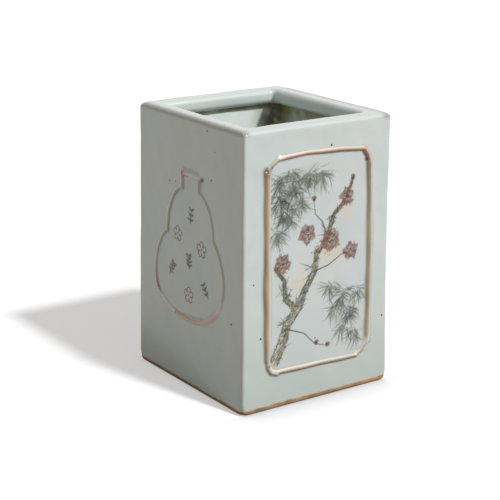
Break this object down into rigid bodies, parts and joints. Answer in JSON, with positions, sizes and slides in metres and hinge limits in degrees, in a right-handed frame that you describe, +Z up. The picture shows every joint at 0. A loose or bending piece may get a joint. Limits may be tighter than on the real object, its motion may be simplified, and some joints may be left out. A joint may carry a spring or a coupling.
{
  "type": "brush pot",
  "caption": "Square glazed porcelain brush pot with a thick flat rim, framed relief panels and gourds on its faces, and a bare clay foot.",
  "frame": {"origin": "centre of the foot, on the surface that the pot stands on", "axes": "+Z up, -Y out of the front panel face, -X out of the left gourd face, +X to the right of the front face"},
  "size_m": [0.1046, 0.113, 0.16],
  "materials": {
    "glaze": "gloss",
    "inner_glaze": "gloss",
    "relief_enamel": "gloss",
    "bare_clay": "matt"
  },
  "bodies": {
    "root": {"front_wall": "glaze", "right_wall": "glaze", "back_wall": "glaze", "left_wall": "glaze", "floor_slab": "inner_glaze", "rim_frame": "glaze", "foot_frame": "bare_clay", "corner_coil_front_left": "inner_glaze", "corner_coil_front_right": "inner_glaze", "corner_coil_back_right": "inner_glaze", "corner_coil_back_left": "inner_glaze", "floor_coil_front": "inner_glaze", "floor_coil_right": "inner_glaze", "floor_coil_back": "inner_glaze", "floor_coil_left": "inner_glaze", "front_panel_right_strip": "relief_enamel", "front_panel_top_right_strip": "relief_enamel", "front_panel_top_strip": "relief_enamel", "front_panel_top_left_strip": "relief_enamel", "front_panel_left_strip": "relief_enamel", "front_panel_bottom_left_strip": "relief_enamel", "front_panel_bottom_strip": "relief_enamel", "front_panel_bottom_right_strip": "relief_enamel", "back_panel_right_strip": "relief_enamel", "back_panel_top_right_strip": "relief_enamel", "back_panel_top_strip": "relief_enamel", "back_panel_top_left_strip": "relief_enamel", "back_panel_left_strip": "relief_enamel", "back_panel_bottom_left_strip": "relief_enamel", "back_panel_bottom_strip": "relief_enamel", "back_panel_bottom_right_strip": "relief_enamel", "left_gourd_upper_bulb_right": "relief_enamel", "left_gourd_neck_right": "relief_enamel", "left_gourd_lip": "relief_enamel", "left_gourd_neck_left": "relief_enamel", "left_gourd_upper_bulb_left": "relief_enamel", "left_gourd_lower_bulb": "relief_enamel", "right_gourd_upper_bulb_right": "relief_enamel", "right_gourd_neck_right": "relief_enamel", "right_gourd_lip": "relief_enamel", "right_gourd_neck_left": "relief_enamel", "right_gourd_upper_bulb_left": "relief_enamel", "right_gourd_lower_bulb": "relief_enamel"}
  },
  "joints": []
}
